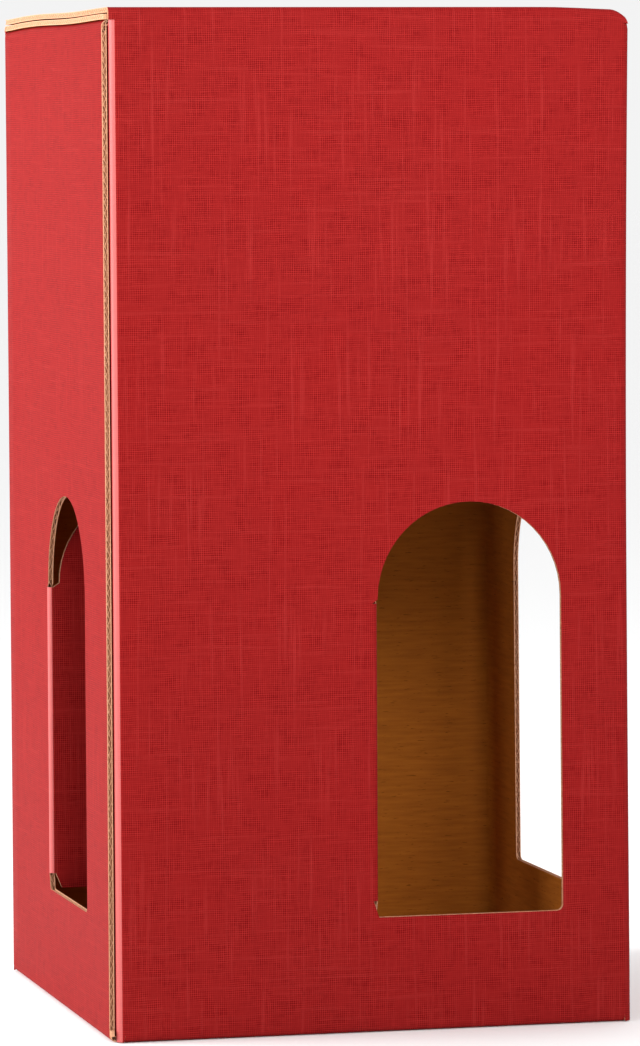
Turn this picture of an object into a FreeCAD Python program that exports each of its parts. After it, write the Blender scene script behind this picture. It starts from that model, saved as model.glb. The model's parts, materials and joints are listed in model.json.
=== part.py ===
"""Four-bottle shipping box of fine corrugated board, folded from one die-cut blank.

Each wall has an arched window. The board cut from it stays joined along one upright
crease and folds into the box, where it keeps two bottles apart. The carton is one folded
sheet; the lid and the four window flaps are the parts of it that swing.

X runs to the right along the front wall, Y to the back, Z up.
The origin is on the floor, in the middle of the box.
"""

import FreeCAD, Part
import Sketcher
import os

from FreeCAD import Rotation, Vector

doc = FreeCAD.newDocument("BottleBox")

# Driving dimensions, in millimetres and degrees
SIZES = {
    "box_width": 184.0,  # over the glued side seam
    "box_depth": 180.0,
    "box_height": 350.0,
    "board": 1.8,  # fine corrugated board with its two liners
    "fold_radius": 2.4,  # outside radius of a crease
    "sheet_gap": 0.3,  # air between stacked sheets, and along a cut
    "lap_setback": 4.5,  # raw front edge of the left wall, behind the front face
    "tab_width": 30.0,
    "tab_end": 8.0,  # the glue tab stops this far short of the wall, at both ends
    "window_width": 67.5,
    "sill_height": 39.5,
    "straight_side": 108.25,  # upright sides of a window, below its half-round arch
    "sill_corner": 2.2,  # radius of the window's lower corner
    "flap_room": 3.7,  # left between a side window's flap, pushed back flat, and the next wall
    "pivot_gap": 0.15,  # a window flap turns just inside the wall's inner liner
    "lid_room": 1.8,  # from the lid's turning line to its plate
    "lid_corner": 3.0,
    "dust_flap": 60.0,
    "seam_half": 0.5,  # half the slit where two bottom flaps meet
    "flap_angle": 90.0,  # how far the front, left and back window flaps are folded in
    "right_flap_angle": 172.0,  # pushed back almost flat against its wall
}

sheet = doc.addObject("Spreadsheet::Sheet", "Sizes")
for row, (alias, value) in enumerate(SIZES.items(), start=1):
    sheet.set(f"A{row}", alias)
    sheet.set(f"B{row}", str(value))
    sheet.setAlias(f"B{row}", alias)
doc.recompute()

# Planes of the box, each a formula of the sheet
board = "Sizes.board"
radius = "Sizes.fold_radius"
gap = "Sizes.sheet_gap"
left_out = "(-Sizes.box_width / 2)"
lap_plane = f"({left_out} + {board})"
right_out = "(Sizes.box_width / 2)"
front_out = "(-Sizes.box_depth / 2)"
back_out = "(Sizes.box_depth / 2)"
lid_under = f"(Sizes.box_height - {board})"
inner_flap_top = f"({lid_under} - {gap})"
dust_top = f"({inner_flap_top} - {board} - {gap})"
nose_height = f"(Sizes.box_height - {board} / 2)"
nose_depth = f"({front_out} + {board} / 2)"
# Creases of the side windows lie this far off the middle of their wall
side_shift = f"(Sizes.box_depth / 2 - {board} - Sizes.window_width - Sizes.flap_room)"

LEFT, RIGHT = Vector(-1, 0, 0), Vector(1, 0, 0)
FRONT, BACK = Vector(0, -1, 0), Vector(0, 1, 0)
DOWN, UP = Vector(0, 0, -1), Vector(0, 0, 1)


def place(feature, x, y, z):
    """Binds a feature's place to formulas of the sheet."""
    for axis, formula in zip("xyz", (x, y, z)):
        feature.setExpression(f"Placement.Base.{axis}", formula)


def plate(name, x, y, z):
    """Flat piece of board between two formulas along each axis."""
    box = doc.addObject("Part::Box", name)
    for side, (low, high) in zip(("Length", "Width", "Height"), (x, y, z)):
        box.setExpression(side, f"{high} - {low}")
    place(box, x[0], y[0], z[0])
    return box


def fold(name, start, end, centre, length):
    """Quarter-round crease from facing start to facing end, about a line that begins at centre."""
    turn = Rotation(start, end, start.cross(end), "ZXY")
    rounds = []
    for suffix, size in (("Outside", radius), ("Inside", f"{radius} - {board}")):
        cylinder = doc.addObject("Part::Cylinder", name + suffix)
        cylinder.Angle = 90
        cylinder.Placement = FreeCAD.Placement(Vector(), turn)
        cylinder.setExpression("Radius", size)
        cylinder.setExpression("Height", length)
        place(cylinder, *centre)
        rounds.append(cylinder)
    bend = doc.addObject("Part::Cut", name)
    bend.Base, bend.Tool = rounds
    return bend


def outline_on(body, role, start, thickness):
    """Empty sketch on one of the body's origin planes, and a pad that lifts it from start."""
    sketch = body.newObject("Sketcher::SketchObject", body.Name + "Outline")
    plane = next(f for f in body.Origin.OriginFeatures if f.Role == role)
    sketch.AttachmentSupport = [(plane, "")]
    sketch.MapMode = "FlatFace"
    sketch.setExpression("AttachmentOffset.Base.z", start)
    pad = body.newObject("PartDesign::Pad", body.Name + "Sheet")
    pad.Profile = sketch
    pad.setExpression("Length", thickness)
    return sketch, pad


def from_origin(sketch, direction, line, end, formula):
    """Fixes one coordinate of a sketch point to a formula of the sheet."""
    drawn = getattr(sketch.getPoint(line, end), direction.lower())
    kind = "Distance" + direction
    number = sketch.addConstraint(Sketcher.Constraint(kind, -1, 1, line, end, drawn))
    sketch.setExpression(f"Constraints[{number}]", formula)


def round_corner(body, pad, corners, size):
    """Rounds the pad's edges whose ends all lie at one of the given corners."""
    doc.recompute()
    names = []
    for number, edge in enumerate(pad.Shape.Edges, start=1):
        for corner in corners:
            ends = [v.Point for v in edge.Vertexes]
            if all(abs(getattr(p, a) - c) < 0.01 for p in ends for a, c in corner.items()):
                names.append(f"Edge{number}")
    rounding = body.newObject("PartDesign::Fillet", body.Name + "Corner")
    rounding.Base = (pad, names)
    rounding.setExpression("Radius", size)
    body.Tip = rounding


def arched_board(name, inset, start, thickness):
    """Board of a window's outline, drawn inset, in the frame of its crease.

    The crease is the local Z axis, local X runs across the window and -Y is outward.
    """
    body = doc.addObject("PartDesign::Body", name)
    sketch, pad = outline_on(body, "XZ_Plane", start, thickness)
    width = SIZES["window_width"]
    sill = SIZES["sill_height"]
    spring = sill + SIZES["straight_side"]
    sill_line, far_side, arch, crease_side = sketch.addGeometry(
        [
            Part.LineSegment(Vector(1, sill, 0), Vector(width, sill, 0)),
            Part.LineSegment(Vector(width, sill, 0), Vector(width, spring, 0)),
            Part.ArcOfCircle(
                Part.Circle(Vector(width / 2, spring, 0), Vector(0, 0, 1), width / 2),
                0,
                3.14159,
            ),
            Part.LineSegment(Vector(1, spring, 0), Vector(1, sill, 0)),
        ]
    )
    ring = (sill_line, far_side, arch, crease_side)
    for before, after in zip(ring, ring[1:] + ring[:1]):
        sketch.addConstraint(Sketcher.Constraint("Coincident", before, 2, after, 1))
    sketch.addConstraint(Sketcher.Constraint("Horizontal", sill_line))
    sketch.addConstraint(Sketcher.Constraint("Vertical", far_side))
    spring_line = "Sizes.sill_height + Sizes.straight_side"
    from_origin(sketch, "X", sill_line, 1, inset)
    from_origin(sketch, "Y", sill_line, 1, f"Sizes.sill_height + {inset}")
    from_origin(sketch, "X", sill_line, 2, f"Sizes.window_width - {inset}")
    from_origin(sketch, "Y", far_side, 2, spring_line)
    from_origin(sketch, "X", arch, 3, "Sizes.window_width / 2")
    from_origin(sketch, "Y", arch, 3, spring_line)
    from_origin(sketch, "Y", crease_side, 1, spring_line)
    doc.recompute()
    sill_end = max(v.X for v in pad.Shape.Vertexes)
    sill_level = min(v.Z for v in pad.Shape.Vertexes)
    round_corner(body, pad, [{"x": sill_end, "z": sill_level}], f"Sizes.sill_corner - {inset}")
    return body


# The four windows: pivot, and the turn from the front wall's direction
WINDOWS = {
    "front": ("0", f"({front_out} + {board} + Sizes.pivot_gap)", 0, "Sizes.flap_angle"),
    "right": (
        f"({right_out} - {board} - Sizes.pivot_gap)",
        f"(-{side_shift})",
        90,
        "Sizes.right_flap_angle",
    ),
    "back": ("0", f"({back_out} - {board} - Sizes.pivot_gap)", 180, "Sizes.flap_angle"),
    "left": (
        f"({lap_plane} + Sizes.pivot_gap)",
        side_shift,
        270,
        "Sizes.flap_angle",
    ),
}


def stand_at_window(body, wall, folded):
    """Puts a board drawn in its crease's frame at the wall's crease, turned in by folded degrees."""
    x, y, turn, _ = WINDOWS[wall]
    body.Placement = FreeCAD.Placement(Vector(), Rotation(Vector(0, 0, 1), 45))
    place(body, x, y, "0")
    body.setExpression("Placement.Rotation.Angle", f"{turn} + {folded}")


def walls():
    """Front, right, back and left wall and the glue tab, with the creases between them."""
    bend_left = f"({left_out} + {radius})"
    bend_lap = f"({lap_plane} + {radius})"
    bend_right = f"({right_out} - {radius})"
    bend_front = f"({front_out} + {radius})"
    bend_back = f"({back_out} - {radius})"
    upright = (radius, dust_top)
    side_top = f"({dust_top} - {radius})"
    back_top = f"({inner_flap_top} - {radius})"
    lap_start = f"({front_out} + Sizes.lap_setback)"
    tab_back = f"({front_out} + Sizes.tab_width)"
    return [
        plate("FrontWall", (bend_lap, bend_right), (front_out, f"({front_out} + {board})"), upright),
        plate("RightWall", (f"({right_out} - {board})", right_out), (bend_front, bend_back), (radius, side_top)),
        plate("BackWall", (bend_left, bend_right), (f"({back_out} - {board})", back_out), (radius, back_top)),
        plate("LeftWall", (left_out, lap_plane), (lap_start, bend_back), (radius, side_top)),
        plate(
            "GlueTab",
            (lap_plane, f"({lap_plane} + {board})"),
            (bend_front, tab_back),
            ("Sizes.tab_end", f"({dust_top} - Sizes.tab_end)"),
        ),
        fold("FrontLeftCrease", LEFT, FRONT, (bend_lap, bend_front, "0"), dust_top),
        fold("FrontRightCrease", FRONT, RIGHT, (bend_right, bend_front, "0"), dust_top),
        fold("BackRightCrease", RIGHT, BACK, (bend_right, bend_back, "0"), dust_top),
        fold("BackLeftCrease", BACK, LEFT, (bend_left, bend_back, "0"), dust_top),
    ]


def lid_crease():
    """Top strip of the front wall, as wide as the lid, ending in the rounded line the lid turns on."""
    strip = plate(
        "FrontBrow",
        (lap_plane, f"({right_out} - {gap})"),
        (front_out, f"({front_out} + {board})"),
        (dust_top, nose_height),
    )
    nose = doc.addObject("Part::Cylinder", "LidNose")
    nose.Placement = FreeCAD.Placement(Vector(), Rotation(Vector(0, 1, 0), 90))
    nose.setExpression("Radius", f"{board} / 2")
    nose.setExpression("Height", f"{right_out} - {gap} - {lap_plane}")
    place(nose, lap_plane, nose_depth, nose_height)
    return [strip, nose]


def inner_top_flap():
    """Flap of the back wall that lies under the lid, over the whole top."""
    span = (f"({left_out} + {gap})", f"({right_out} - {gap})")
    bend_y = f"({back_out} - {radius})"
    bend_z = f"({inner_flap_top} - {radius})"
    flap_front = f"({front_out} + {board} + {gap})"
    top = (f"({inner_flap_top} - {board})", inner_flap_top)
    return [
        fold("InnerFlapCrease", BACK, UP, (span[0], bend_y, bend_z), f"{span[1]} - {span[0]}"),
        plate("InnerTopFlap", span, (flap_front, bend_y), top),
    ]


def dust_flaps():
    """Short flaps of the side walls, the lowest sheets of the top."""
    bend_z = f"({dust_top} - {radius})"
    level = (f"({dust_top} - {board})", dust_top)
    start = f"({front_out} + Sizes.lap_setback)"
    end = f"({back_out} - {radius})"
    left_bend = f"({left_out} + {radius})"
    right_bend = f"({right_out} - {radius})"
    return [
        fold("LeftDustCrease", LEFT, UP, (left_bend, start, bend_z), f"{end} - {start}"),
        plate("LeftDustFlap", (left_bend, f"({left_out} + Sizes.dust_flap)"), (start, end), level),
        fold("RightDustCrease", UP, RIGHT, (right_bend, start, bend_z), f"{end} - {start}"),
        plate("RightDustFlap", (f"({right_out} - Sizes.dust_flap)", right_bend), (start, end), level),
    ]


def bottom():
    """Front and back flap meet in a seam under the box; the side flaps lie glued on them.

    Their creases stop a cut's width short of the corners.
    """
    low = ("0", board)
    high = (board, f"(2 * {board})")
    bend_left = f"({left_out} + {radius})"
    bend_lap = f"({lap_plane} + {radius})"
    bend_right = f"({right_out} - {radius})"
    bend_front = f"({front_out} + {radius})"
    bend_back = f"({back_out} - {radius})"
    front_span = (f"({bend_lap} + {gap})", f"({bend_right} - {gap})")
    back_span = (f"({bend_left} + {gap})", f"({bend_right} - {gap})")
    front_length = f"{front_span[1]} - {front_span[0]}"
    back_length = f"{back_span[1]} - {back_span[0]}"
    inner_span = (f"({front_out} + {board} + {gap})", f"({back_out} - {board} - {gap})")
    lap_start = f"({front_out} + Sizes.lap_setback)"
    return [
        fold("FrontBottomCrease", FRONT, DOWN, (front_span[0], bend_front, radius), front_length),
        fold("BackBottomCrease", DOWN, BACK, (back_span[0], bend_back, radius), back_length),
        fold("LeftBottomCrease", DOWN, LEFT, (bend_left, lap_start, radius), f"{bend_back} - {lap_start}"),
        fold("RightBottomCrease", RIGHT, DOWN, (bend_right, bend_front, radius), f"{bend_back} - {bend_front}"),
        plate("FrontBottomFlap", front_span, (bend_front, "(-Sizes.seam_half)"), low),
        plate("BackBottomFlap", back_span, ("Sizes.seam_half", bend_back), low),
        plate("LeftBottomFlap", (lap_plane, "(-Sizes.seam_half)"), inner_span, high),
        plate("RightBottomFlap", ("Sizes.seam_half", f"({right_out} - {board})"), inner_span, high),
    ]


def make_carton():
    """The folded sheet, with an arched window cut through each wall."""
    folded = doc.addObject("Part::MultiFuse", "FoldedSheet")
    folded.Shapes = walls() + lid_crease() + inner_top_flap() + dust_flaps() + bottom()
    folded.Refine = True
    knives = []
    for wall in WINDOWS:
        knife = arched_board(wall.title() + "Knife", "0", "Sizes.pivot_gap - 1", f"{board} + 2")
        stand_at_window(knife, wall, "0")
        knives.append(knife)
    windows = doc.addObject("Part::MultiFuse", "Windows")
    windows.Shapes = knives
    carton = doc.addObject("Part::Cut", "Carton")
    carton.Base, carton.Tool = folded, windows
    carton.Refine = True
    return carton


def make_lid():
    """Outer top flap, shut: a plate that starts behind its turning line and covers the box."""
    body = doc.addObject("PartDesign::Body", "Lid")
    sketch, pad = outline_on(body, "XY_Plane", lid_under, board)
    front, right, back, left = sketch.addGeometry(
        [
            Part.LineSegment(Vector(-90, -88, 0), Vector(90, -88, 0)),
            Part.LineSegment(Vector(90, -88, 0), Vector(90, 88, 0)),
            Part.LineSegment(Vector(90, 88, 0), Vector(-90, 88, 0)),
            Part.LineSegment(Vector(-90, 88, 0), Vector(-90, -88, 0)),
        ]
    )
    ring = (front, right, back, left)
    for before, after in zip(ring, ring[1:] + ring[:1]):
        sketch.addConstraint(Sketcher.Constraint("Coincident", before, 2, after, 1))
    for line in (front, back):
        sketch.addConstraint(Sketcher.Constraint("Horizontal", line))
    for line in (left, right):
        sketch.addConstraint(Sketcher.Constraint("Vertical", line))
    from_origin(sketch, "X", front, 1, lap_plane)
    from_origin(sketch, "Y", front, 1, f"{nose_depth} + Sizes.lid_room")
    from_origin(sketch, "X", right, 2, f"{right_out} - {gap}")
    from_origin(sketch, "Y", right, 2, f"{back_out} - {gap}")
    doc.recompute()
    far = max(v.Y for v in pad.Shape.Vertexes)
    sides = {v.X for v in pad.Shape.Vertexes}
    round_corner(body, pad, [{"x": side, "y": far} for side in sides], "Sizes.lid_corner")
    return body


parts = {"carton": make_carton(), "lid": make_lid()}
for wall, window in WINDOWS.items():
    flap = arched_board(wall.title() + "WindowFlap", gap, "Sizes.pivot_gap", board)
    stand_at_window(flap, wall, window[3])
    parts[f"{wall}_window_flap"] = flap
doc.recompute()

for feature in doc.Objects:
    if "Invalid" in feature.State or "Error" in feature.State:
        raise RuntimeError(f"{feature.Name} did not compute: {feature.State}")

os.makedirs("parts", exist_ok=True)
for name, feature in parts.items():
    feature.Label = name
    shape = feature.Shape
    if shape.isNull() or not shape.isValid() or len(shape.Solids) != 1:
        raise RuntimeError(f"{name} is not one valid solid")
    shape.exportStep(f"parts/{name}.step")
    box = shape.BoundBox
    print(
        f"{name}: {shape.Volume / 1000:.1f} cm3, "
        f"X {box.XMin:.2f} {box.XMax:.2f}, Y {box.YMin:.2f} {box.YMax:.2f}, Z {box.ZMin:.2f} {box.ZMax:.2f}"
    )
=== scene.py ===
import json
import math

import bpy
import numpy as np
from mathutils import Matrix, Vector
from mathutils.geometry import delaunay_2d_cdt


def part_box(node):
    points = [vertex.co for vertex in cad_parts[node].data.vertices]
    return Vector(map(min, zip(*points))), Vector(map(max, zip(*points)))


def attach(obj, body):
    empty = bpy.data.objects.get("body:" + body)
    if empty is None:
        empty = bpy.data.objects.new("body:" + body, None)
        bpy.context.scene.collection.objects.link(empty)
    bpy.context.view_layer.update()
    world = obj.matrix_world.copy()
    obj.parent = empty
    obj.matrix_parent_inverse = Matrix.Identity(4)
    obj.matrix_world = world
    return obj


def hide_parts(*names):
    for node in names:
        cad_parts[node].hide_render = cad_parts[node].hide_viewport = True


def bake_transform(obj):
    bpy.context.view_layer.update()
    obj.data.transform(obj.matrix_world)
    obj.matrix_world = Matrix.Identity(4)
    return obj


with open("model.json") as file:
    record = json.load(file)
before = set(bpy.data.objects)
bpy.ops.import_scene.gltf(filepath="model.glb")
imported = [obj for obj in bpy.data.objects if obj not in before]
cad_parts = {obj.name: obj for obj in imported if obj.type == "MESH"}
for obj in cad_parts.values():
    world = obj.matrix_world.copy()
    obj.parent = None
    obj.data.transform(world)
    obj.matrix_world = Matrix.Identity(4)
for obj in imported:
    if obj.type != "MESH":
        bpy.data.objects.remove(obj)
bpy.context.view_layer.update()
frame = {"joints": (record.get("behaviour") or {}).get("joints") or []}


# The board
# Fine corrugated board: two paper liners with a wavy paper between them, glued and die-cut flat.
# Its waves run level round the box, so every upright cut shows them end on.
mm = 0.001
BOARD = 1.8 * mm
LINER = 0.32 * mm
FLUTE_PAPER = 0.22 * mm
FLUTE_PITCH = 3.66 * mm
CREASE = 2.4 * mm  # outside radius of a fold
CREASE_RUN = CREASE * math.pi / 2
CUT = 0.3 * mm  # width of a die cut, and of the air between stacked sheets
FRAYED = 0.08 * mm  # how far the die pushes the wavy paper's end behind the liners'


def sampled(loop, level_step, upright_step):
    """Points along a loop's cut edges, close enough to draw the waves, each with its inward direction."""
    runs = []
    run = []
    for (s, t, kind), (s2, t2, _) in zip(loop, loop[1:] + loop[:1]):
        if kind != "cut":
            if run:
                runs.append(run)
            run = []
            continue
        steps = max(1, math.ceil(abs(t2 - t) / upright_step), math.ceil(abs(s2 - s) / level_step))
        length = math.hypot(s2 - s, t2 - t)
        inward = (-(t2 - t) / length, (s2 - s) / length)
        for k in range(steps + 1):
            if run and k == 0:
                last = run[-1]
                meet = (last[2] + inward[0], last[3] + inward[1])
                size = max(0.6, math.hypot(*meet) ** 2 / 2)
                run[-1] = (last[0], last[1], meet[0] / size, meet[1] / size)
                continue
            share = k / steps
            run.append((s + (s2 - s) * share, t + (t2 - t) * share, *inward))
    if run:
        runs.append(run)
    if len(runs) > 1 and loop[0][2] == "cut" and loop[-1][2] == "cut":
        runs[0] = runs.pop() + runs[0][1:]
    return runs


def wave(t):
    """Depth of the wavy paper in the board, at a height of the blank."""
    swing = BOARD / 2 - LINER - FLUTE_PAPER / 2
    return BOARD / 2 + swing * math.sin(2 * math.pi * t / FLUTE_PITCH)


def die_cut(loop, fold, recess):
    """Raw edge of the board: both liners' ends, the wavy paper between them, and the hollow behind."""
    corners, quads, places = [], [], []
    for run in sampled(loop, level_step=8 * mm, upright_step=0.6 * mm):
        ends = (
            (0, lambda t: 0, 0, lambda t: LINER),
            (0, lambda t: LINER, recess, lambda t: LINER),
            (recess, lambda t: LINER, recess, lambda t: BOARD - LINER),
            (recess, lambda t: BOARD - LINER, 0, lambda t: BOARD - LINER),
            (0, lambda t: BOARD - LINER, 0, lambda t: BOARD),
            (recess, lambda t: wave(t) - FLUTE_PAPER / 2, FRAYED, lambda t: wave(t) - FLUTE_PAPER / 2),
            (FRAYED, lambda t: wave(t) - FLUTE_PAPER / 2, FRAYED, lambda t: wave(t) + FLUTE_PAPER / 2),
            (FRAYED, lambda t: wave(t) + FLUTE_PAPER / 2, recess, lambda t: wave(t) + FLUTE_PAPER / 2),
        )
        for near, near_depth, far, far_depth in ends:
            first = len(corners)
            for s, t, into_s, into_t in run:
                for inset, depth in ((near, near_depth), (far, far_depth)):
                    corners.append(fold(s + into_s * inset, t + into_t * inset, depth(t)))
                    places.append((s, t))
            for k in range(first, len(corners) - 2, 2):
                quads.append((k, k + 2, k + 3, k + 1))
    return corners, quads, places


def inside(points, loops):
    """Which points lie in the outline and in none of its holes."""
    hit = np.zeros(len(points), bool)
    for loop in loops:
        for (s, t, _), (s2, t2, _) in zip(loop, loop[1:] + loop[:1]):
            if t == t2:
                continue
            crosses = (points[:, 1] < t) != (points[:, 1] < t2)
            hit ^= crosses & (points[:, 0] < s + (s2 - s) * (points[:, 1] - t) / (t2 - t))
    return hit


def clear_of(points, corners, room):
    """Which points lie farther than room from every corner."""
    near = np.full(len(points), np.inf)
    for corner in corners:
        near = np.minimum(near, np.hypot(*(points - corner).T))
    return near > room


def divided(loop, columns, rows):
    """The loop with a corner wherever it crosses a column or a row."""
    out = []
    for (s, t, kind), (s2, t2, _) in zip(loop, loop[1:] + loop[:1]):
        shares = {0.0}
        for line in columns:
            if min(s, s2) + 1e-6 < line < max(s, s2) - 1e-6:
                shares.add((line - s) / (s2 - s))
        for line in rows:
            if min(t, t2) + 1e-6 < line < max(t, t2) - 1e-6:
                shares.add((line - t) / (t2 - t))
        for share in sorted(shares):
            out.append((s + (s2 - s) * share, t + (t2 - t) * share, kind))
    return out


def make_board(name, fold, loops, columns, rows, recess=1.6 * mm, polish_and_painted_highlight=(0, 0)):
    """Cuts a flat outline with holes from the board and folds it: printed skin, kraft skin and raw edges."""
    fine = [divided(loop, columns, rows) for loop in loops]
    border = np.array([(s, t) for loop in fine for s, t, _ in loop])
    grid = np.array([(s, t) for s in columns for t in rows])
    grid = grid[inside(grid, fine)]
    grid = grid[clear_of(grid, border, room=0.45 * mm)] if len(grid) else grid
    flat = [Vector((s / mm, t / mm)) for s, t in np.vstack([border, grid])]
    edges = []
    first = 0
    for loop in fine:
        count = len(loop)
        edges += [(first + k, first + (k + 1) % count) for k in range(count)]
        first += count
    flat, _, faces, *_ = delaunay_2d_cdt(flat, edges, [], 0, 1e-4, False)
    flat = np.array([tuple(p) for p in flat]) * mm
    faces = np.array(faces)
    faces = faces[inside(flat[faces].mean(axis=1), fine)]
    a, b, c = (flat[faces[:, k]] for k in range(3))
    clockwise = (b - a)[:, 0] * (c - a)[:, 1] < (b - a)[:, 1] * (c - a)[:, 0]
    faces[clockwise] = faces[clockwise][:, ::-1]

    printed = [fold(s, t, 0.0) for s, t in flat]
    kraft = [fold(s, t, BOARD) for s, t in flat]
    count = len(flat)
    corners = printed + kraft
    shapes = [tuple(face[::-1]) for face in faces] + [tuple(face + count) for face in faces]
    middles = flat[faces].mean(axis=1)[:, 0]
    # Faces within this span take slot 3, the fold material: a polish, and paler ink that is a painted
    # highlight.
    slots = [3 if polish_and_painted_highlight[0] < s < polish_and_painted_highlight[1] else 0 for s in middles] + [1] * len(faces)
    places = [tuple(p) for p in flat] * 2
    for loop in loops:
        edge_corners, quads, edge_places = die_cut(loop, fold, recess)
        base = len(corners)
        corners += edge_corners
        places += edge_places
        shapes += [tuple(k + base for k in quad) for quad in quads]
        slots += [2] * len(quads)

    mesh = bpy.data.meshes.new(name)
    mesh.from_pydata([tuple(p) for p in corners], [], shapes)
    mesh.polygons.foreach_set("material_index", slots)
    mesh.polygons.foreach_set("use_smooth", [True] * len(shapes))
    sheet_map = mesh.uv_layers.new(name="Blank")
    for loop_corner, place in zip(mesh.loops, sheet_map.data):
        place.uv = places[loop_corner.vertex_index]
    for material in (linen_paper, kraft_liner, cut_board, fold_paper_with_painted_highlight):
        mesh.materials.append(material)
    made = bpy.data.objects.new(name, mesh)
    bpy.context.scene.collection.objects.link(made)
    return made


# Linen-embossed paper
# The printed side: paper printed deep red and rolled with a linen emboss under a thin satin varnish.
# That gives fine crossed threads with dark pores between them, and long, thick, paler ones.
THREAD = 0.74 * mm
WAVE_STEP = math.pi / 10  # a wave texture of scale 1 repeats after this length


def linear(hex_colour):
    """sRGB hex as linear RGBA."""
    values = [int(hex_colour[k:k + 2], 16) / 255 for k in (1, 3, 5)]
    return [v / 12.92 if v <= 0.04045 else ((v + 0.055) / 1.055) ** 2.4 for v in values] + [1.0]


def add(tree, kind, links=None, **settings):
    """Adds a node with its settings, and fills its sockets from values, sockets or nodes' first outputs."""
    made = tree.nodes.new("ShaderNode" + kind)
    for name, value in settings.items():
        setattr(made, name, value)
    for socket, source in (links or {}).items():
        if isinstance(source, bpy.types.Node):
            source = source.outputs[0]
        if isinstance(source, bpy.types.NodeSocket):
            tree.links.new(source, made.inputs[socket])
        else:
            made.inputs[socket].default_value = source
    return made


def new_material(name):
    """Empty material with its output, and the tree to build in."""
    made = bpy.data.materials.new(name)
    made.use_nodes = True
    made.node_tree.nodes.clear()
    return made, made.node_tree


def threads(tree, blank, upright, slub_width, slub_length, seed):
    """Height of the threads that run one way, and where one of them is a slub."""
    row = add(tree, "TexWave", {
        "Vector": blank, "Scale": WAVE_STEP / THREAD, "Distortion": 3.5, "Detail": 2.0, "Detail Scale": 0.2,
    }, bands_direction="X" if upright else "Y")
    sizes = (THREAD, 5 * mm), (slub_width, slub_length)
    fine, coarse = (
        add(tree, "Mapping", {
            "Vector": blank,
            "Location": (seed, seed / 2, seed / 3),
            "Scale": (1 / across, 1 / along, 1) if upright else (1 / along, 1 / across, 1),
        }) for across, along in sizes
    )
    body = add(tree, "TexNoise", {"Vector": fine, "Scale": 1.0, "Detail": 2.0})
    height = add(tree, "Math", {0: row, 1: body}, operation="MULTIPLY")
    knots = add(tree, "TexNoise", {"Vector": coarse, "Scale": 1.0, "Detail": 1.5, "Roughness": 0.4})
    slub = add(tree, "MapRange", {"Value": knots, "From Min": 0.57, "From Max": 0.77})
    return height, slub


def make_linen(name, roughness, specular, painted_highlight):
    """Printed linen paper, with the shine that its varnish has there, and its ink mixed towards pale pink by
    a share that is a painted highlight.
    """
    material, tree = new_material(name)
    blank = add(tree, "UVMap", uv_map="Blank")
    warp, warp_slub = threads(tree, blank, True, 1.4 * mm, 45 * mm, 3.0)
    weft, weft_slub = threads(tree, blank, False, 1.3 * mm, 30 * mm, 71.0)
    weave = add(tree, "Math", {0: warp, 1: weft}, operation="ADD")
    depth_of_emboss = add(tree, "TexNoise", {"Vector": blank, "Scale": 1 / (7 * mm), "Detail": 4.0})
    pressed = add(tree, "MapRange", {
        "Value": depth_of_emboss, "From Min": 0.38, "From Max": 0.62, "To Min": 0.25, "To Max": 1.0,
    })
    weave = add(tree, "Mix", {"Factor": pressed, "A": 0.55, "B": weave}, data_type="FLOAT")
    weft_slub = add(tree, "Math", {0: weft_slub, 1: 0.55}, operation="MULTIPLY")
    slubs = add(tree, "Math", {0: warp_slub, 1: weft_slub}, operation="MAXIMUM")
    patches = add(tree, "TexNoise", {"Vector": blank, "Scale": 1 / (50 * mm), "Detail": 2.0})
    ink = add(tree, "ValToRGB", {0: weave})
    ink.color_ramp.elements[0].position = 0.12
    ink.color_ramp.elements[0].color = linear("#5E070A")
    ink.color_ramp.elements[1].position = 0.85
    ink.color_ramp.elements[1].color = linear("#982422")
    pale = add(tree, "Math", {0: slubs, 1: 0.22}, operation="MULTIPLY")
    ink = add(tree, "Mix", {
        "Factor": pale, "A": ink.outputs["Color"], "B": linear("#B43A37"),
    }, data_type="RGBA")
    deep = add(tree, "Math", {0: patches, 1: 0.25}, operation="MULTIPLY")
    ink = add(tree, "Mix", {
        "Factor": deep, "A": ink.outputs["Result"], "B": linear("#880D12"),
    }, data_type="RGBA")
    # Painted highlight: the ink is mixed towards pale pink by this share, for folds that face the lamp.
    ink = add(tree, "Mix", {
        "Factor": painted_highlight, "A": ink.outputs["Result"], "B": linear("#F0807C"),
    }, data_type="RGBA")
    relief = add(tree, "Math", {0: slubs, 1: 0.8, 2: weave}, operation="MULTIPLY_ADD")
    emboss = add(tree, "Bump", {"Height": relief, "Strength": 0.4, "Distance": 0.05 * mm})
    paper = add(tree, "BsdfPrincipled", {
        "Base Color": ink.outputs["Result"],
        "Roughness": roughness,
        "IOR": 1.48,
        "Specular IOR Level": specular,
        "Normal": emboss,
    })
    add(tree, "OutputMaterial", {0: paper})
    return material


linen_paper = make_linen("linen_embossed_paper", 0.5, 0.015, 0.0)
# The lap's fold and the left window's face the lamp: a polish that catches it, and paler ink that is a
# painted highlight.
fold_paper_with_painted_highlight = make_linen("linen_fold_with_painted_highlight", 0.42, 0.25, 0.36)


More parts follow.
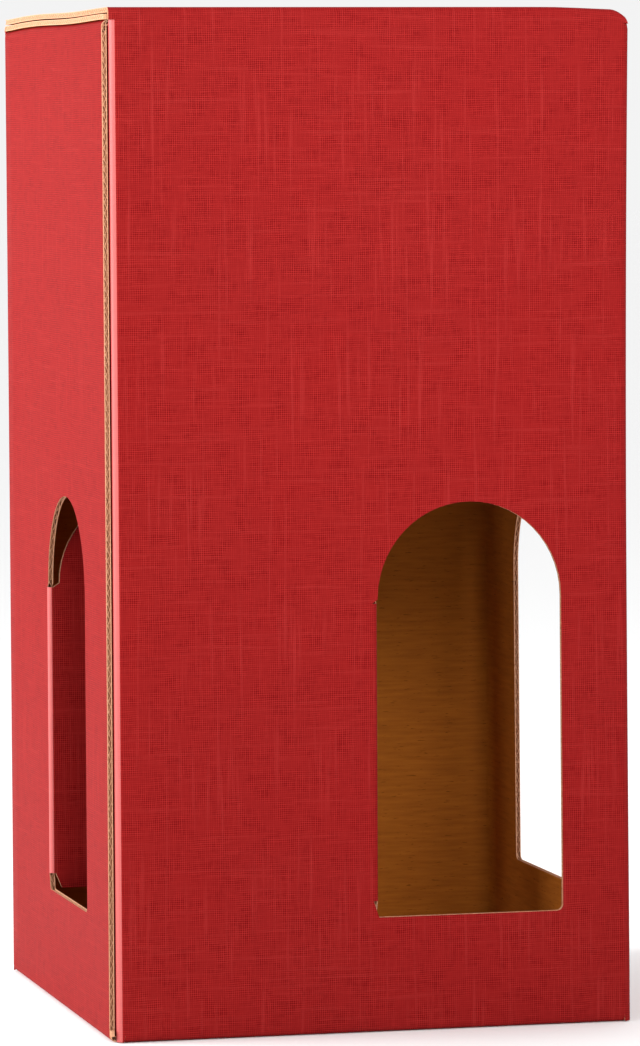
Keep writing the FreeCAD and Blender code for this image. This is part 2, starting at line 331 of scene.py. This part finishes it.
# Kraft liner
# The inside of the box is bare brown kraft: unbleached fibres, matt, with short darker flecks.
# The glued waves show through it as faint level stripes, the washboard of corrugated board.
kraft_liner, tree = new_material("bare_kraft_liner")
blank = add(tree, "UVMap", uv_map="Blank")
stripes = add(tree, "TexWave", {"Vector": blank, "Scale": WAVE_STEP / FLUTE_PITCH}, bands_direction="Y")
streaks = add(tree, "TexNoise", {
    "Vector": add(tree, "Mapping", {"Vector": blank, "Scale": (1 / (14 * mm), 1 / (1.3 * mm), 1)}),
    "Scale": 1.0, "Detail": 4.0,
})
fleck_map = add(tree, "Mapping", {"Vector": blank, "Scale": (1 / (5 * mm), 1 / (0.55 * mm), 1)})
flecks = add(tree, "TexNoise", {"Vector": fleck_map, "Scale": 1.0, "Detail": 2.0, "Roughness": 0.6})
flecks = add(tree, "MapRange", {"Value": flecks, "From Min": 0.30, "From Max": 0.36})
fibre = add(tree, "ValToRGB", {0: streaks})
fibre.color_ramp.elements[0].position = 0.3
fibre.color_ramp.elements[0].color = linear("#97561A")
fibre.color_ramp.elements[1].position = 0.7
fibre.color_ramp.elements[1].color = linear("#AB651F")
fibre = add(tree, "Mix", {
    "Factor": flecks, "A": linear("#74400F"), "B": fibre.outputs["Color"],
}, data_type="RGBA")
ridges = add(tree, "Math", {0: streaks, 1: stripes}, operation="ADD")
washboard = add(tree, "Bump", {"Height": ridges, "Strength": 0.3, "Distance": 0.05 * mm})
liner = add(tree, "BsdfPrincipled", {
    "Base Color": fibre.outputs["Result"],
    "Roughness": 0.85,
    "IOR": 1.45,
    "Specular IOR Level": 0.1,
    "Normal": washboard,
})
add(tree, "OutputMaterial", {0: liner})


# Die-cut edge
# Where the die went through, both liners and the wavy paper show their pale torn fibres.
# Rough and light peach, a little darker where the blade pressed them together.
cut_board, tree = new_material("die_cut_kraft")
blank = add(tree, "UVMap", uv_map="Blank")
torn = add(tree, "TexNoise", {"Vector": blank, "Scale": 1 / (0.8 * mm), "Detail": 4.0, "Roughness": 0.7})
pulp = add(tree, "ValToRGB", {0: torn})
pulp.color_ramp.elements[0].position = 0.3
pulp.color_ramp.elements[0].color = linear("#B8805C")
pulp.color_ramp.elements[1].position = 0.7
pulp.color_ramp.elements[1].color = linear("#D8A686")
edge = add(tree, "BsdfPrincipled", {
    "Base Color": pulp.outputs["Color"],
    "Roughness": 0.9,
    "IOR": 1.45,
    "Specular IOR Level": 0.15,
})
add(tree, "OutputMaterial", {0: edge})


# The wrap
# One die-cut blank goes once round the box: left, back, right and front wall, then the glue tab.
# It starts at the left wall's raw front edge, and runs clockwise as seen from above.
low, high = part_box("carton")
lid_low, lid_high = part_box("lid")
LEFT_OUT, RIGHT_OUT = low.x, high.x
FRONT_OUT, BACK_OUT = low.y, high.y
HEIGHT = high.z
LAP_PLANE = lid_low.x
LAP_SETBACK = 3.2 * mm
SEAM_GAP = 0.5 * mm
TAB_WIDTH = 30 * mm
TAB_END = 1 * mm
INNER_TOP = lid_low.z - CUT
DUST_TOP = INNER_TOP - BOARD - CUT
SIDE_BEND = DUST_TOP - CREASE
BACK_BEND = INNER_TOP - CREASE
LID_BEND = HEIGHT - CREASE
WAIST = {"left": 0.1 * mm, "right": 0.95 * mm}
CRUSHED = 7 * mm
DROOP = 0.9 * mm  # the top's right side hangs down by this much
DROOP_WIDTH = 30 * mm
STACK_FOOT = 14 * mm  # below the top, where the stack's unevenness starts
STACK_FADE = 9 * mm
UNEVEN = 0.22 * mm
SUNK_BACK = 0.3 * mm
FLATTENED = 0.35  # how far the press flattens a fold's arc towards its chord

wrap = {}
pen = {"at": Vector((LEFT_OUT, FRONT_OUT + LAP_SETBACK)), "heading": math.pi / 2, "run": 0.0}


def facing(heading):
    """Direction to the left of a heading: out of the box."""
    return Vector((-math.sin(heading), math.cos(heading)))


def lay(name, length, turn=0.0):
    """Adds a wall, or a rounded corner that turns right, to the wrap."""
    wrap[name] = dict(pen, at=pen["at"].copy(), length=length, turn=turn)
    if turn:
        centre = pen["at"] - facing(pen["heading"]) * CREASE
        pen["heading"] -= turn
        pen["at"] = centre + facing(pen["heading"]) * CREASE
    else:
        pen["at"] += Vector((math.cos(pen["heading"]), math.sin(pen["heading"]))) * length
    pen["run"] += length


lay("left", BACK_OUT - CREASE - FRONT_OUT - LAP_SETBACK)
lay("left_back", CREASE_RUN, math.pi / 2)
lay("back", RIGHT_OUT - LEFT_OUT - 2 * CREASE)
lay("back_right", CREASE_RUN, math.pi / 2)
lay("right", BACK_OUT - FRONT_OUT - 2 * CREASE)
lay("right_front", CREASE_RUN, math.pi / 2)
lay("front", RIGHT_OUT - LAP_PLANE - SEAM_GAP - 2 * CREASE)
lay("front_left", CREASE_RUN, math.pi / 2)
lay("tab", TAB_WIDTH - CREASE)


def smooth(share):
    """Eases from 0 to 1."""
    share = min(max(share, 0.0), 1.0)
    return share * share * (3 - 2 * share)


def settle(point):
    """Handling: side walls drawn in at the waist, top stack uneven, top front right corner crushed round."""
    x, y, z = point
    top = smooth((z - HEIGHT + STACK_FOOT) / STACK_FADE)
    rise = min(max(z / HEIGHT, 0.0), 1.0)
    along = (y - FRONT_OUT) / (BACK_OUT - FRONT_OUT)
    side = "left" if x < 0 else "right"
    x -= WAIST[side] * math.sin(math.pi * rise ** 1.25) * x / RIGHT_OUT
    over_x = max(0.0, (x - RIGHT_OUT) / CRUSHED + 1)
    over_z = max(0.0, (z - HEIGHT) / CRUSHED + 1)
    pressed = CRUSHED * (1 - 0.5 * smooth(along))
    x -= pressed * over_x * (1 - math.sqrt(1 - over_z ** 2 / 2))
    z -= pressed * over_z * (1 - math.sqrt(1 - over_x ** 2 / 2))
    z -= top * (UNEVEN * (1 - math.cos(3 * math.pi * along)) + SUNK_BACK * smooth((along - 0.8) / 0.2))
    z -= top * DROOP * smooth((x - RIGHT_OUT + DROOP_WIDTH) / DROOP_WIDTH) * (1 - 0.6 * smooth(along))
    return Vector((x, y, z))


def bent(over, direction):
    """How far a crease and its flap go inwards and up or down, and where the printed side faces."""
    angle = min(over / CREASE, math.pi / 2)
    flap = max(0.0, over - CREASE_RUN)
    inwards = CREASE * (1 - math.cos(angle)) + flap
    return inwards, direction * CREASE * math.sin(angle), math.cos(angle), direction * math.sin(angle), flap


def folded(stretch, s, t, depth, top_bend=None, bottom_bend=None, lift=0.0):
    """Place in the box of a point of the blank: s along the wrap, t up, depth into the board."""
    along = s - stretch["run"]
    heading = stretch["heading"]
    out = facing(heading)
    at = stretch["at"]
    if stretch["turn"]:
        share = along / stretch["length"]
        centre = at - out * CREASE
        chord = out.lerp(facing(heading - stretch["turn"]), share)
        out = facing(heading - stretch["turn"] * share)
        at = centre + out.lerp(chord, FLATTENED) * CREASE
    else:
        at = at + Vector((math.cos(heading), math.sin(heading))) * along
    inwards, level, outward, upward = 0.0, t, 1.0, 0.0
    if top_bend is not None and t > top_bend:
        inwards, rise, outward, upward, _ = bent(t - top_bend, 1)
        level = top_bend + rise
    if bottom_bend is not None and t < bottom_bend:
        inwards, rise, outward, upward, flap = bent(bottom_bend - t, -1)
        level = bottom_bend + rise + lift * smooth(flap / (3 * mm))
    at = at - out * (inwards + outward * depth)
    return settle((at.x, at.y, level - upward * depth))


FOLDS = {
    "left": {"top_bend": SIDE_BEND, "bottom_bend": CREASE, "lift": BOARD},
    "right": {"top_bend": SIDE_BEND, "bottom_bend": CREASE, "lift": BOARD},
    "front": {"bottom_bend": CREASE},
    "back": {"bottom_bend": CREASE},
}


def on_wall(s, t, depth):
    """The walls with their dust flaps and bottom flaps."""
    for name, stretch in wrap.items():
        if s <= stretch["run"] + stretch["length"] + 1e-7 or name == "tab":
            return folded(stretch, s, t, depth, **FOLDS.get(name, {}))


# Windows
# Each wall has an arched opening, die-cut on all sides but one upright side, which is only creased.
# The board from it stays joined there and is pushed into the box, where it parts two bottles.
flap_low, flap_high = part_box("front_window_flap")
SILL = flap_low.z - CUT
APEX = flap_high.z + CUT
WINDOW_WIDTH = flap_high.y - flap_low.y + 2 * CUT
NOTCH = 1.9 * mm
CREASE_FOOT = SILL + 5.6 * mm
ARCH_RADIUS = (WINDOW_WIDTH - NOTCH) / 2
SPRING = APEX - ARCH_RADIUS
CREASE_TOP = SPRING - 1.5 * mm
SILL_CORNER = 2.2 * mm
hinges = {joint["child"]: joint for joint in frame["joints"]}


def crease_run(wall):
    """Where along the wrap the wall's window is creased."""
    stretch = wrap[wall]
    heading = stretch["heading"]
    pivot = Vector(hinges[wall + "_window_flap"]["pos_m"][:2])
    return stretch["run"] + (pivot - stretch["at"]).dot(Vector((math.cos(heading), math.sin(heading))))


def arch(crease, inset, steps=28):
    """Outline of a window, or of the board cut from it, from the crease's foot and round to it again."""
    radius = ARCH_RADIUS - inset
    middle = crease - NOTCH - ARCH_RADIUS
    corner = SILL_CORNER - inset
    far = crease - WINDOW_WIDTH + inset
    sill = SILL + inset
    loop = [
        (crease - NOTCH - inset, sill, "cut"),
        (crease, CREASE_FOOT, "joined"),
        (crease, CREASE_TOP, "cut"),
    ]
    for k in range(steps + 1):
        angle = math.pi * k / steps
        loop.append((middle + radius * math.cos(angle), SPRING + radius * math.sin(angle), "cut"))
    for k in range(7):
        angle = math.pi + math.pi / 2 * k / 6
        s = far + corner + corner * math.cos(angle)
        t = sill + corner + corner * math.sin(angle)
        loop.append((s, t, "cut"))
    return loop


def turned_round(loop):
    """The same loop walked the other way, as a hole needs."""
    kinds = [kind for _, _, kind in loop]
    ends = [(s, t) for s, t, _ in loop]
    return [(s, t, kind) for (s, t), kind in zip(ends[::-1], kinds[-2::-1] + kinds[-1:])]


# The carton
# Walls, glue tab, dust flaps and bottom flaps in one folded sheet, glued along the front left corner.
# The outline is walked as the die cuts it: along the foot to the right, and back along the top.
DUST_FLAP = 60 * mm
TAPER = 1.5 * mm
FLAP_SIDE = {"front": 2.8 * mm, "back": 2.8 * mm, "left": 0.3 * mm, "right": 0.3 * mm}
FOOT = 0.15 * mm
SLIT = 0.1 * mm
SEAM_HALF = 0.5 * mm
BOTTOM_REACH = {
    "front": (BACK_OUT - FRONT_OUT) / 2 - SEAM_HALF,
    "back": (BACK_OUT - FRONT_OUT) / 2 - SEAM_HALF,
    "left": (RIGHT_OUT - LEFT_OUT) / 2 - SEAM_HALF,
    "right": (RIGHT_OUT - LEFT_OUT) / 2 - SEAM_HALF,
}


def blank_outline():
    """Walls with their flaps, as one loop."""
    end = wrap["tab"]["run"] + wrap["tab"]["length"]
    loop = [(0.0, FOOT, "cut")]
    for wall in ("left", "back", "right", "front"):
        start = wrap[wall]["run"]
        stop = start + wrap[wall]["length"]
        side = FLAP_SIDE[wall]
        tip = CREASE - CREASE_RUN - (BOTTOM_REACH[wall] - CREASE)
        if wall != "left":
            loop.append((start, FOOT, "cut"))
        loop += [
            (start + SLIT, FOOT, "cut"),
            (start + SLIT, CREASE, "cut"),
            (start + 2 * SLIT, CREASE, "cut"),
            (start + 2 * SLIT, CREASE - CREASE_RUN, "cut"),
            (start + side + CUT + TAPER, tip, "cut"),
            (stop - side - CUT - TAPER, tip, "cut"),
            (stop - 2 * SLIT, CREASE - CREASE_RUN, "cut"),
            (stop - 2 * SLIT, CREASE, "cut"),
            (stop - SLIT, CREASE, "cut"),
            (stop - SLIT, FOOT, "cut"),
        ]
    tab = wrap["tab"]["run"]
    loop += [
        (tab, FOOT, "cut"),
        (tab, TAB_END, "cut"),
        (end, TAB_END + 3 * mm, "cut"),
        (end, DUST_TOP - TAB_END - 3 * mm, "cut"),
        (tab, DUST_TOP - TAB_END, "cut"),
        (tab, DUST_TOP, "cut"),
        (wrap["front_left"]["run"], DUST_TOP, "joined"),
        (wrap["front"]["run"], DUST_TOP, "cut"),
    ]
    for wall in ("right", "left"):
        start = wrap[wall]["run"]
        stop = start + wrap[wall]["length"]
        tip = SIDE_BEND + CREASE_RUN + DUST_FLAP - CREASE
        loop += [
            (stop, DUST_TOP, "cut"),
            (stop, SIDE_BEND, "cut"),
            (stop - CUT, SIDE_BEND, "cut"),
            (stop - CUT - TAPER, tip, "cut"),
            (start + CUT + TAPER, tip, "cut"),
            (start + CUT, SIDE_BEND, "cut"),
        ]
        if wall == "right":
            loop += [
                (start, SIDE_BEND, "cut"),
                (start, DUST_TOP, "cut"),
                (wrap["back_right"]["run"], DUST_TOP, "cut"),
                (wrap["back_right"]["run"], BACK_BEND, "joined"),
                (wrap["back"]["run"], BACK_BEND, "cut"),
                (wrap["back"]["run"], DUST_TOP, "cut"),
            ]
    loop.append((0.0, SIDE_BEND, "cut"))
    return loop


def steps_between(start, stop, step):
    """Even steps, ends included."""
    count = max(1, math.ceil((stop - start) / step))
    return [start + (stop - start) * k / count for k in range(count + 1)]


columns = []
for name, stretch in wrap.items():
    step = CREASE_RUN / 8 if stretch["turn"] else 11 * mm
    columns += steps_between(stretch["run"], stretch["run"] + stretch["length"], step)
rows = steps_between(-BOTTOM_REACH["left"], CREASE - CREASE_RUN - 3 * mm, 12 * mm)
rows += steps_between(CREASE - CREASE_RUN - 3 * mm, CREASE - CREASE_RUN, 1 * mm)
rows += steps_between(CREASE - CREASE_RUN, CREASE, CREASE_RUN / 8)
rows += steps_between(CREASE, SIDE_BEND - 12 * mm, 10 * mm)
rows += steps_between(SIDE_BEND - 12 * mm, SIDE_BEND, 1 * mm)
rows += steps_between(SIDE_BEND, SIDE_BEND + CREASE_RUN, CREASE_RUN / 8)
rows += steps_between(SIDE_BEND + CREASE_RUN, SIDE_BEND + CREASE_RUN + DUST_FLAP, 12 * mm)
columns += steps_between(wrap["right_front"]["run"] - 9 * mm, wrap["right_front"]["run"], 0.9 * mm)
columns += steps_between(wrap["front"]["run"], wrap["front"]["run"] + 9 * mm, 0.9 * mm)
columns = sorted(set(round(line, 7) for line in columns))
rows = sorted(set(round(line, 7) for line in rows))

holes = [turned_round(arch(crease_run(wall), 0.0)) for wall in ("left", "back", "right", "front")]
# The lap's fold faces the lamp, so it gets the fold material with its painted highlight.
lap_fold = wrap["front_left"]["run"] + 0.25 * CREASE_RUN, wrap["tab"]["run"] + 0.5 * mm
carton = make_board("carton_board", on_wall, [blank_outline()] + holes, columns, rows, polish_and_painted_highlight=lap_fold)
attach(carton, "box")
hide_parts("carton")


# Inner top flap
# The back wall's own top flap, of the same sheet. It covers the whole top, on the dust flaps.
# Its raw ends show at the left and right, where they turn down over the back wall.
INNER_FRONT = FRONT_OUT + BOARD + CUT
ROUND_TIP = 2 * mm
PRESSED_DOWN = 0.2 * mm
PRESSED_SHUT = 0.2 * mm  # the top flaps' ends are squeezed, so their waves hardly show


def on_inner_flap(s, t, depth):
    """The back wall's plane, folded over at the top, and pressed down a little by the lid."""
    point = folded(wrap["back"], s, t, depth, top_bend=BACK_BEND)
    point.z -= PRESSED_DOWN * smooth((t - BACK_BEND) / CREASE_RUN)
    return point


def tongue(start, stop, foot, tip, size):
    """Flap outline that is joined at its foot, with rounded tips."""
    loop = [(start, foot, "joined"), (stop, foot, "cut")]
    for centre, begin in ((stop - size, 0.0), (start + size, math.pi / 2)):
        for k in range(7):
            angle = begin + math.pi / 2 * k / 6
            loop.append((centre + size * math.cos(angle), tip - size + size * math.sin(angle), "cut"))
    return loop


back = wrap["back"]
reach = CREASE - CUT
inner_start = back["run"] - reach
inner_stop = back["run"] + back["length"] + reach
inner_tip = BACK_BEND + CREASE_RUN + (BACK_OUT - CREASE) - INNER_FRONT
columns = steps_between(inner_start, inner_stop - 10 * mm, 11 * mm)
columns += steps_between(inner_stop - 10 * mm, inner_stop, 1 * mm)
rows = steps_between(BACK_BEND, BACK_BEND + CREASE_RUN, CREASE_RUN / 8)
rows += steps_between(BACK_BEND + CREASE_RUN, inner_tip, 11 * mm)[1:]
outline = tongue(inner_start, inner_stop, BACK_BEND, inner_tip, ROUND_TIP)
inner_flap = make_board("inner_top_flap", on_inner_flap, [outline], columns, rows, PRESSED_SHUT)
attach(inner_flap, "box")


# The lid
# The front wall's top flap, outermost of the stack. It swings on its crease along the front's top edge.
# The crease is a piece that bends between the wall and the lid, and the lid's tips are rounded.
front = wrap["front"]
lid_start = front["run"] + (wrap["front"]["at"].x - lid_high.x)
lid_stop = front["run"] + (wrap["front"]["at"].x - lid_low.x)
lid_foot = LID_BEND + CREASE_RUN + lid_low.y - (FRONT_OUT + CREASE)
lid_tip = lid_foot + lid_high.y - lid_low.y
ASKEW = 1.3 * mm


def on_lid(s, t, depth):
    """The front wall's plane, folded over at the top. The lid lies a little askew to the left."""
    s += ASKEW * max(0.0, t - lid_foot) / (lid_tip - lid_foot)
    return folded(front, s, t, depth, top_bend=LID_BEND)


columns = steps_between(lid_start, lid_start + 10 * mm, 0.8 * mm)
columns += steps_between(lid_start + 10 * mm, lid_stop, 8 * mm)[1:]
rows = steps_between(DUST_TOP, LID_BEND, 1 * mm)
rows += steps_between(LID_BEND, LID_BEND + CREASE_RUN, CREASE_RUN / 10)[1:] + [lid_foot]
crease_loop = [
    (lid_start, DUST_TOP, "joined"),
    (lid_stop, DUST_TOP, "cut"),
    (lid_stop, lid_foot, "joined"),
    (lid_start, lid_foot, "cut"),
]
lid_crease = make_board("lid_crease", on_lid, [crease_loop], columns, rows, PRESSED_SHUT)
on_lid(lid_stop, LID_BEND, 0.0)
on_lid(lid_stop, lid_foot, 0.0)
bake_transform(lid_crease)

rows = steps_between(lid_foot, lid_tip, 8 * mm)
outline = tongue(lid_start, lid_stop, lid_foot, lid_tip, ROUND_TIP / 2)
lid = make_board("lid_board", on_lid, [outline], columns, rows, PRESSED_SHUT)
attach(lid, "lid")
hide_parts("lid")


# Window flaps
# Each is the board cut from its window, so it is made shut and then turned in about its crease.
# The crease itself is a piece of its own, which bends between the wall and the flap.
HAIR = 0.05 * mm  # keeps the flap's joined side just off the wall's when it is shut
STRIP = 3 * mm  # length of blank that a window's crease takes up as it bends


def swung(wall, share, s, t, depth):
    """A point of the wall turned in about the window's crease by a share of the flap's rest angle."""
    joint = hinges[wall + "_window_flap"]
    pivot = Vector(joint["pos_m"])
    turn = Matrix.Rotation(math.radians(-joint["range_deg"][0]) * share, 3, "Z")
    return pivot + turn @ (on_wall(s, t, depth) - pivot)


for wall in ("front", "right", "back", "left"):
    body = wall + "_window_flap"
    crease = crease_run(wall)
    far = crease - WINDOW_WIDTH + CUT
    columns = steps_between(far, crease, 8 * mm)
    rows = steps_between(SILL + CUT, APEX - CUT, 8 * mm)

    def on_flap(s, t, depth):
        return swung(wall, 1.0, s, t, depth)

    flap = make_board(wall + "_flap_board", on_flap, [arch(crease - HAIR, CUT)], columns, rows)
    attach(flap, body)
    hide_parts(body)

    def on_crease(s, t, depth):
        return swung(wall, (crease - s) / STRIP, crease, t, depth)

    strip_loop = [
        (crease - STRIP, CREASE_FOOT, "cut"),
        (crease, CREASE_FOOT, "joined"),
        (crease, CREASE_TOP, "cut"),
        (crease - STRIP, CREASE_TOP, "joined"),
    ]
    columns = steps_between(crease - STRIP, crease, STRIP / 20)
    rows = steps_between(CREASE_FOOT, CREASE_TOP, 8 * mm)
    # The left window's crease faces the lamp, so it gets the fold material with its painted highlight.
    shine_and_painted_highlight = (crease - 0.8 * STRIP, crease) if wall == "left" else (0, 0)
    bend = make_board(wall + "_window_crease", on_crease, [strip_loop], columns, rows, polish_and_painted_highlight=shine_and_painted_highlight)
    middle = (SILL + SPRING) / 2
    on_crease(crease, middle, 0.0)
    on_crease(crease - STRIP, middle, 0.0)
    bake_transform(bend)


# Studio
# A white floor under a white sky, with a large soft lamp on the left and a narrow one beside it.
# A small gridded lamp in front brightens the top of the front wall.
REACH = 20.0
GROUND = -0.2 * mm
floor_mesh = bpy.data.meshes.new("studio_floor")
floor_mesh.from_pydata(
    [(-REACH, -REACH, GROUND), (REACH, -REACH, GROUND), (REACH, REACH, GROUND), (-REACH, REACH, GROUND)],
    [],
    [(0, 1, 2, 3)],
)
floor = bpy.data.objects.new("studio_floor", floor_mesh)
bpy.context.scene.collection.objects.link(floor)
backdrop, tree = new_material("white_backdrop")
paint = add(tree, "BsdfPrincipled", {"Base Color": linear("#FFFFFF"), "Roughness": 0.9})
add(tree, "OutputMaterial", {0: paint})
floor_mesh.materials.append(backdrop)

world = bpy.data.worlds.new("studio")
bpy.context.scene.world = world
world.use_nodes = True
world.node_tree.nodes["Background"].inputs["Color"].default_value = linear("#FFFFFF")
world.node_tree.nodes["Background"].inputs["Strength"].default_value = 0.9
bpy.context.scene.view_settings.view_transform = "Standard"


def lamp(name, at, aim, size, power, spread=180):
    """Soft square lamp that looks at a point. A grid in front of it narrows its spread."""
    data = bpy.data.lights.new(name, "AREA")
    data.shape = "RECTANGLE"
    data.size, data.size_y = size
    data.energy = power
    data.spread = math.radians(spread)
    made = bpy.data.objects.new(name, data)
    made.location = at
    made.rotation_euler = (Vector(aim) - Vector(at)).to_track_quat("-Z", "Y").to_euler()
    bpy.context.scene.collection.objects.link(made)


lamp("softbox_left", (-1.15, 0.22, 0.5), (0, 0, 0.28), (0.6, 0.8), 19)
lamp("strip_left", (-1.25, -0.6, 0.35), (-0.09, -0.09, 0.2), (0.25, 1.0), 4)
lamp("softbox_front", (0.0, -0.95, 0.58), (0, -0.09, 0.37), (0.5, 0.4), 1.0, spread=55)


# Camera
# Where the photographer stood, fitted to the box's corners and window edges in the picture.
CAMERA_AT = Vector((-0.482, -1.989, 0.307))
YAW, PITCH, ROLL = (math.radians(angle) for angle in (13.725, -3.856, -0.33))
FOCAL_PIXELS = 5766
PICTURE_HEIGHT = 1046
SENSOR = 36
ahead = Vector((math.sin(YAW) * math.cos(PITCH), math.cos(YAW) * math.cos(PITCH), math.sin(PITCH)))
level = Vector((math.cos(YAW), -math.sin(YAW), 0))
above = level.cross(ahead)
right = level * math.cos(ROLL) + above * math.sin(ROLL)
up = above * math.cos(ROLL) - level * math.sin(ROLL)
lens = bpy.data.cameras.new("camera")
lens.sensor_width = SENSOR
lens.lens = SENSOR * FOCAL_PIXELS / PICTURE_HEIGHT
camera = bpy.data.objects.new("camera", lens)
camera.matrix_world = Matrix.Translation(CAMERA_AT) @ Matrix((right, up, -ahead)).transposed().to_4x4()
bpy.context.scene.collection.objects.link(camera)
bpy.context.scene.camera = camera
